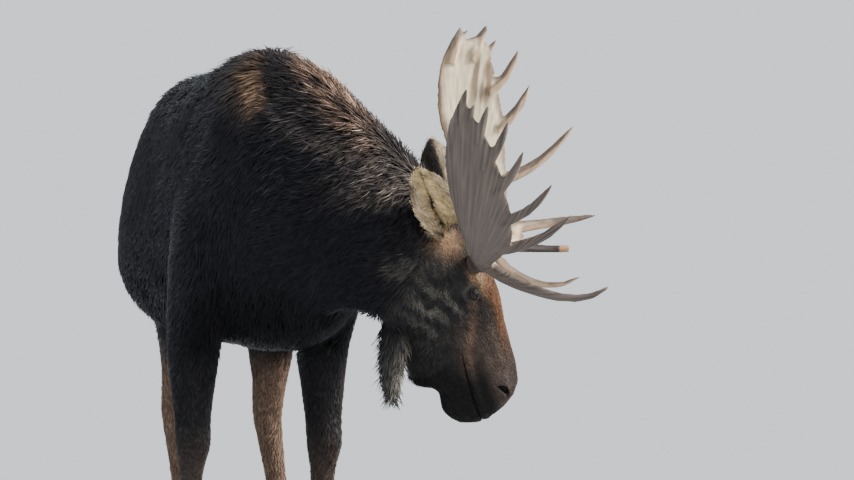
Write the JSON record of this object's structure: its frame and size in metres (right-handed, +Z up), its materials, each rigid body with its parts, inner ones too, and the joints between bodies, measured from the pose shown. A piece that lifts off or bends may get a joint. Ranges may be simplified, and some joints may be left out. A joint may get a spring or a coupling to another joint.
{
  "type": "moose",
  "caption": "Life-size standing bull moose with palmate antlers, neck turned to its left and muzzle lowered to graze, as a still museum model.",
  "frame": {"origin": "on the ground, under the middle of the whole animal's bounding box, antlers included", "axes": "+Z up, the trunk faces -Y, the animal's left side is at +X"},
  "size_m": [1.4384, 2.6548, 2.0227],
  "materials": {
    "coat": "dense dark brown-black hair, soft sheen, golden tips on the shoulder and mane",
    "face": "short hair, orange-brown down the nose, near black on the muzzle",
    "lower_leg": "short brown hair",
    "ear": "golden tan hair inside, dark outside",
    "antler": "dry bone, grooved, stained brown in the grooves, worn pale on the tips",
    "hoof": "dark horn, faint growth rings",
    "eye": "wet, glossy dark brown"
  },
  "bodies": {
    "root": {"antler_left_brow": "antler", "antler_left_palm": "antler", "antler_right_brow": "antler", "antler_right_palm": "antler", "bell": "coat", "dewclaw_fore_left_a": "hoof", "dewclaw_fore_left_b": "hoof", "dewclaw_fore_right_a": "hoof", "dewclaw_fore_right_b": "hoof", "dewclaw_hind_left_a": "hoof", "dewclaw_hind_left_b": "hoof", "dewclaw_hind_right_a": "hoof", "dewclaw_hind_right_b": "hoof", "ear_left": "ear", "ear_right": "ear", "eye_left": "eye", "eye_right": "eye", "head": "face", "hoof_fore_left_a": "hoof", "hoof_fore_left_b": "hoof", "hoof_fore_right_a": "hoof", "hoof_fore_right_b": "hoof", "hoof_hind_left_a": "hoof", "hoof_hind_left_b": "hoof", "hoof_hind_right_a": "hoof", "hoof_hind_right_b": "hoof", "leg_fore_left_shank": "lower_leg", "leg_fore_left_upper": "coat", "leg_fore_right_shank": "lower_leg", "leg_fore_right_upper": "coat", "leg_hind_left_shank": "lower_leg", "leg_hind_left_upper": "coat", "leg_hind_right_shank": "lower_leg", "leg_hind_right_upper": "coat", "neck": "coat", "tail": "coat", "trunk": "coat"}
  },
  "joints": []
}
